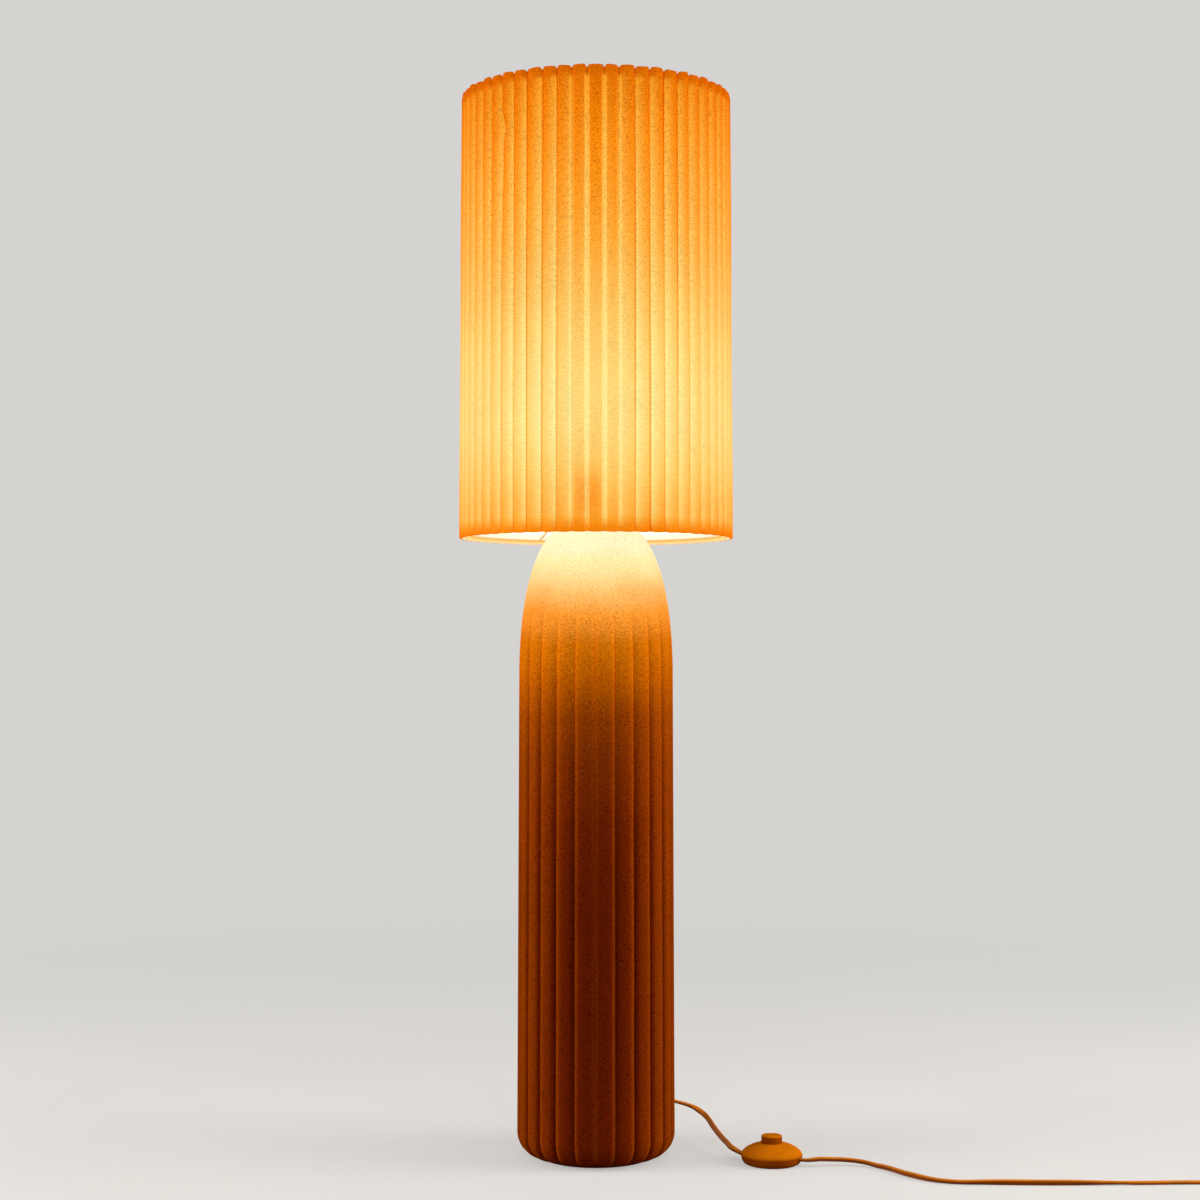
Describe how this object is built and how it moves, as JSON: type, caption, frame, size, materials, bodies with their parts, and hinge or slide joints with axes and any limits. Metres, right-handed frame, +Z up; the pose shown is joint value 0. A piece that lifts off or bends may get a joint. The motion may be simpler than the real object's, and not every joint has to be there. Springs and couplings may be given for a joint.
{
  "type": "floor lamp",
  "caption": "Ribbed ceramic floor lamp with a pleated drum shade on a wire frame, a screw-in bulb, and a flat cord with a foot switch and plug.",
  "frame": {"origin": "on the floor under the middle of the ceramic body", "axes": "+Z up along the lamp's axis, +Y away from the camera, +X to the right, towards the foot switch"},
  "size_m": [0.8522, 0.2854, 1.1],
  "materials": {
    "felt": "felt",
    "plate": "satin",
    "ceramic": "matt speckled glaze",
    "cord": "satin",
    "rubber": "matt",
    "steel": "zinc plated",
    "brass": "satin",
    "cap_metal": "satin",
    "holder": "satin",
    "wire": "white coated wire",
    "liner": "thin lining",
    "shade": "fine woven pleated fabric",
    "glass": "frosted",
    "clear_glass": "clear",
    "filament": "glowing",
    "bulb_cap": "satin",
    "bulb_black": "glassy",
    "switch": "satin moulded"
  },
  "bodies": {
    "lamp": {"felt_ring": "felt", "bottom_plate": "plate", "ceramic_base": "ceramic", "strain_relief": "switch", "neck_gasket": "rubber", "clamp_washer": "steel", "lower_nut": "steel", "nipple": "brass", "neck_cap": "cap_metal", "upper_nut": "brass", "holder_cap": "holder", "grub_screw": "steel", "holder_shell": "holder", "holder_insert": "holder", "holder_sleeve": "brass", "centre_contact": "brass", "holder_screws": "steel", "internal_cord": "cord", "shade_clamp_ring": "holder", "switch_base": "switch", "switch_cover": "switch", "button_spring": "steel", "fixed_contacts": "brass", "terminal_blocks": "brass", "terminal_screws": "steel", "case_screws": "steel", "cord_clamps": "holder", "switch_leads": "cord", "cord_to_switch": "cord", "cord_from_switch": "cord", "cord_coil": "cord", "cord_to_plug": "cord", "plug_body": "switch", "plug_pins": "bulb_cap"},
    "shade": {"shade_frame": "wire", "shade_top_ring": "wire", "shade_liner": "liner", "shade_cover": "shade", "shade_top_binding": "shade", "shade_bottom_binding": "shade"},
    "bulb": {"bulb_glass": "glass", "bulb_stem": "clear_glass", "filament_frame": "steel", "filaments": "filament"},
    "bulb_cap": {"bulb_screw_cap": "bulb_cap", "bulb_insulator": "bulb_black", "bulb_tip": "bulb_cap"},
    "switch_button": {"switch_button": "switch"},
    "switch_rotor": {"ratchet_rotor": "holder", "moving_contact": "brass"}
  },
  "joints": [
    {"name": "button_press", "type": "slide", "parent": "lamp", "child": "switch_button", "axis": [0, 0, -1], "range_m": [0, 0.0025], "stiffness_N_per_m": 1200, "springref_m": -0.002, "deforming": ["button_spring"]},
    {"name": "ratchet_turn", "type": "hinge", "parent": "lamp", "child": "switch_rotor", "pos_m": [0.1795, -0.035, 0.004], "axis": [0, 0, 1], "range_deg": [0, 45]},
    {"name": "shade_swivel", "type": "hinge", "parent": "lamp", "child": "shade", "pos_m": [0, 0, 0.6987], "axis": [0, 0, 1], "continuous": true},
    {"name": "bulb_lift", "type": "slide", "parent": "lamp", "child": "bulb", "axis": [0, 0, 1], "range_m": [0, 0.02]},
    {"name": "bulb_turn", "type": "hinge", "parent": "bulb", "child": "bulb_cap", "pos_m": [0, 0, 0.705], "axis": [0, 0, 1], "range_deg": [0, 1984]}
  ],
  "couplings": [
    {"joint": "ratchet_turn", "follows": "button_press", "rad_per_m": 314.16},
    {"joint": "bulb_turn", "follows": "bulb_lift", "rad_per_m": 1730.9}
  ]
}
